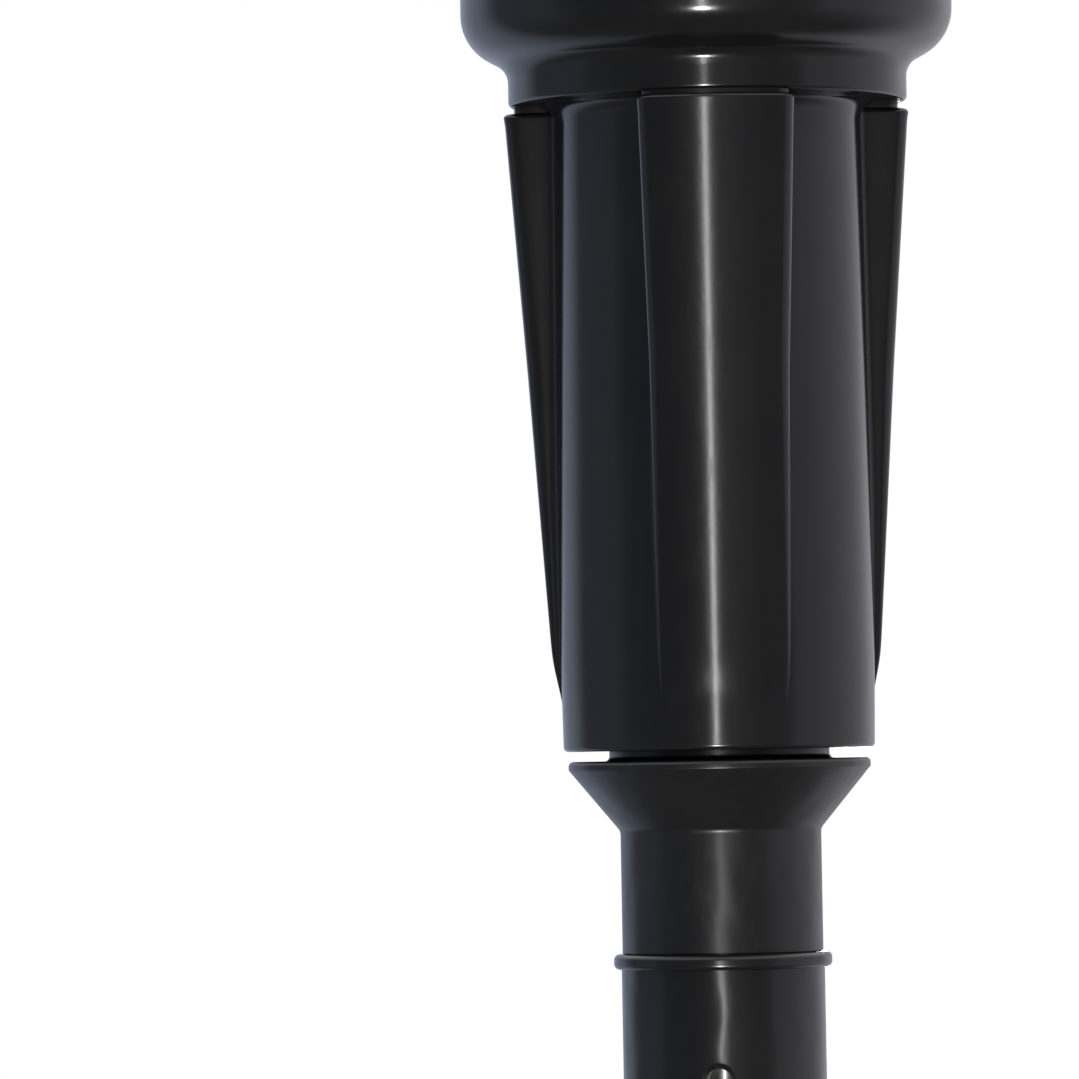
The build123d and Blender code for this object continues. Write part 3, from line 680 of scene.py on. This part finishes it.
# Tip with the reinforced mouth and the air port
TIP = [(9.3, -108.8), (10.9, -108.8, 0.55), (10.9, -110.3, 0.55), (10.15, -110.3),
       (10.15, -133.0), (9.7, -139.5, 0.9), (8.5, -139.5), (8.5, -117.0), (9.3, -117.0)]
TIP_STEP = 0.7
# The port's drill: (radius, distance from the tube's axis)
PORT = [(0.0, 6.0), (1.3, 6.0), (1.3, 9.65), (1.9, 10.15), (1.9, 12.0), (0.0, 12.0)]
PORT_ANGLE = math.radians(-96.0)
PORT_Z = -121.3
PORT_COLUMNS = 48
DRILL_POINT_R = 0.001


def build_tip():
    """Lower tube, drilled and countersunk for the air port."""
    tip = make_piece("spout_tip", *lathe(rounded(TIP, TIP_STEP), even_angles(TUBE_COLUMNS)))
    outline = [Vector((max(r, DRILL_POINT_R), h)) for r, h in PORT]
    vertices, faces = lathe(outline, even_angles(PORT_COLUMNS))
    out = Vector((math.cos(PORT_ANGLE), math.sin(PORT_ANGLE), 0.0))
    side = Vector((-out.y, out.x, 0.0))
    placed = [tuple(out * z + side * x + Vector((0.0, 0.0, y + PORT_Z))) for x, y, z in vertices]
    drill = make_piece("drill", placed, [tuple(reversed(face)) for face in faces])
    cut = tip.modifiers.new("port", "BOOLEAN")
    cut.object = drill
    cut.operation = "DIFFERENCE"
    cut.solver = "EXACT"
    graph = bpy.context.evaluated_depsgraph_get()
    done = bpy.data.meshes.new_from_object(tip.evaluated_get(graph))
    tip.modifiers.clear()
    tip.data = done
    done.shade_smooth()
    done.set_sharp_from_angle(angle=math.radians(SHARP_EDGE))
    bpy.data.objects.remove(drill)
    return tip


# Coupling nut
NUT_R = 26.0
THREAD_CREST = 21.4
THREAD_ROOT = 22.8
THREAD_TOP = 11.7
NUT = [(THREAD_CREST, 0.0), (THREAD_CREST, THREAD_TOP), (22.2, 12.5), (NUT_R, 12.5, 1.0),
       (NUT_R, -9.0, 1.0), (23.6, -9.0), (23.6, -7.9), (18.0, -7.9), (18.0, -4.7), (22.9, -4.7),
       (22.9, 0.0)]
NUT_STEP = 0.3
NUT_SHARP_EDGE = 32.0
# Flutes: round grooves with round ends, their centres outside the nut's face
FLUTES = 30
FLUTE_COLUMNS = 16
FLUTE_R = 1.5
FLUTE_CENTRE_R = 26.8
FLUTE_TOP = 8.9
FLUTE_BOTTOM = -5.4
# Thread: the ridge's half width and flank are shares of the pitch, the fade is in mm
THREAD_PITCH = 4.0
RIDGE_HALF = 0.36
RIDGE_FLANK = 0.2
THREAD_FADE = 1.0
ON_SURFACE = 0.01


def smooth(value):
    """Soft step from 0 to 1."""
    value = min(1.0, max(0.0, value))
    return value * value * (3 - 2 * value)


def nut_shape(radius, height, angle):
    """Round flutes outside and a helical thread inside."""
    if abs(radius - NUT_R) < ON_SURFACE:
        pitch = 2 * math.pi / FLUTES
        off = (angle + pitch / 2) % pitch - pitch / 2
        beyond = max(0.0, height - FLUTE_TOP, FLUTE_BOTTOM - height)
        section = FLUTE_R ** 2 - beyond ** 2 - (FLUTE_CENTRE_R * math.sin(off)) ** 2
        if section > 0:
            return min(NUT_R, FLUTE_CENTRE_R * math.cos(off) - math.sqrt(section))
        return radius
    if abs(radius - THREAD_CREST) < ON_SURFACE:
        turn = (height / THREAD_PITCH - angle / (2 * math.pi)) % 1.0
        ridge = smooth((RIDGE_HALF - abs(turn - 0.5)) / RIDGE_FLANK)
        ends = smooth(height / THREAD_FADE) * smooth((THREAD_TOP - height) / THREAD_FADE)
        return THREAD_ROOT - (THREAD_ROOT - THREAD_CREST) * ridge * ends
    return radius


def build_nut():
    """Union nut with its thread and grip flutes."""
    angles = even_angles(FLUTES * FLUTE_COLUMNS)
    return make_piece("union_nut", *lathe(rounded(NUT, NUT_STEP), angles, nut_shape),
                      NUT_SHARP_EDGE)


# Strainer cloth
CLOTH_PITCH = 0.8
CLOTH_INNER = 6.32
CLOTH_OUTER = 11.88
CLOTH_SQUEEZE = 0.999
CLOTH_SHARP_EDGE = 60.0
WIRE_R = 0.11
WIRE_SIDES = 6
WEAVE_STEPS = 4
WEAVE_DEPTH = 0.5
# The strainer's cone that the cloth lies on, and the middle of the cloth above it
CONE_INNER_R = 6.3
CONE_OUTER_R = 11.9
CONE_INNER_Z = -13.0
CONE_OUTER_Z = -4.6
CLOTH_LIFT = 0.17


def cloth_height(radius):
    """Height of the cloth's middle on its cone."""
    share = (radius - CONE_INNER_R) / (CONE_OUTER_R - CONE_INNER_R)
    return CONE_INNER_Z + share * (CONE_OUTER_Z - CONE_INNER_Z) + CLOTH_LIFT


def wire(points):
    """Round wire through the points."""
    vertices, faces = [], []
    for index, point in enumerate(points):
        ahead = points[min(index + 1, len(points) - 1)]
        behind = points[max(index - 1, 0)]
        along = (ahead - behind).normalized()
        across = along.cross(Vector((0.0, 0.0, 1.0))).normalized()
        lift = across.cross(along)
        for k in range(WIRE_SIDES):
            turn = 2 * math.pi * k / WIRE_SIDES
            offset = across * (WIRE_R * math.cos(turn)) + lift * (WIRE_R * math.sin(turn))
            vertices.append(tuple(point + offset))
    for index in range(len(points) - 1):
        for k in range(WIRE_SIDES):
            a = index * WIRE_SIDES + k
            b = index * WIRE_SIDES + (k + 1) % WIRE_SIDES
            faces.append((a, b, b + WIRE_SIDES, a + WIRE_SIDES))
    faces.append(tuple(reversed(range(WIRE_SIDES))))
    faces.append(tuple(range((len(points) - 1) * WIRE_SIDES, len(points) * WIRE_SIDES)))
    return vertices, faces


def cloth_point(crosswise, line, fixed, moving):
    """Point of a wire at its place along the line, lifted or lowered by the weave."""
    weave = math.cos(math.pi * (moving / CLOTH_PITCH + line)) * WIRE_R * WEAVE_DEPTH
    height = cloth_height(math.hypot(fixed, moving)) + (weave if crosswise else -weave)
    return Vector((moving, fixed, height)) if crosswise else Vector((fixed, moving, height))


def build_cloth():
    """Woven wire cloth on the strainer's cone, the wires passing over and under each other."""
    parts = []
    reach = int(CLOTH_OUTER / CLOTH_PITCH)
    step = CLOTH_PITCH / WEAVE_STEPS
    end = WEAVE_STEPS * (reach + 1)
    for crosswise in (False, True):
        for line in range(-reach, reach + 1):
            fixed = (line + 0.5 * crosswise) * CLOTH_PITCH * CLOTH_SQUEEZE
            run = []
            for k in range(-end, end + 1):
                moving = k * step
                if CLOTH_INNER + WIRE_R < math.hypot(fixed, moving) < CLOTH_OUTER - WIRE_R:
                    run.append(cloth_point(crosswise, line, fixed, moving))
                    continue
                if len(run) > 2:
                    parts.append(wire(run))
                run = []
            if len(run) > 2:
                parts.append(wire(run))
    return make_piece("strainer_cloth", *merge(parts), CLOTH_SHARP_EDGE)


# ---------------------------------------------------------------- the object
for slot, names in SLOTS.items():
    for name in names:
        dress(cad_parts[name], LOOKS[slot])
BUILT = [
    (build_nut(), "coupling", "coupling_nut", "black_gloss", BODY_BLACK),
    (build_body(), "nozzle", "nozzle_body", "black_gloss", BODY_BLACK),
    (build_spout(), "spout", "spout_tube", "black_gloss", SPOUT_BLACK),
    (build_tip(), "spout", "tip_tube", "black_gloss", TIP_BLACK),
    (build_cloth(), "nozzle", "strainer_mesh", "steel_mesh", LOOKS["steel_mesh"]),
]
for piece, body, node, slot, look in BUILT:
    dress(piece, look)
    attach(piece, body)
    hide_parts(node)

studio_world()
lamp("strip", "RECTANGLE", STRIP_WIDTH, STRIP_LENGTH, STRIP_POWER, KEY_AZIMUTH, KEY_ELEVATION)
lamp("back_strip", "RECTANGLE", BACK_STRIP_WIDTH, STRIP_LENGTH, STRIP_POWER, BACK_AZIMUTH,
     BACK_ELEVATION)
lamp("spot", "DISK", SPOT_SIZE, SPOT_SIZE, SPOT_POWER, KEY_AZIMUTH, SPOT_ELEVATION)
floor()
camera()
bpy.context.scene.view_settings.view_transform = "Standard"
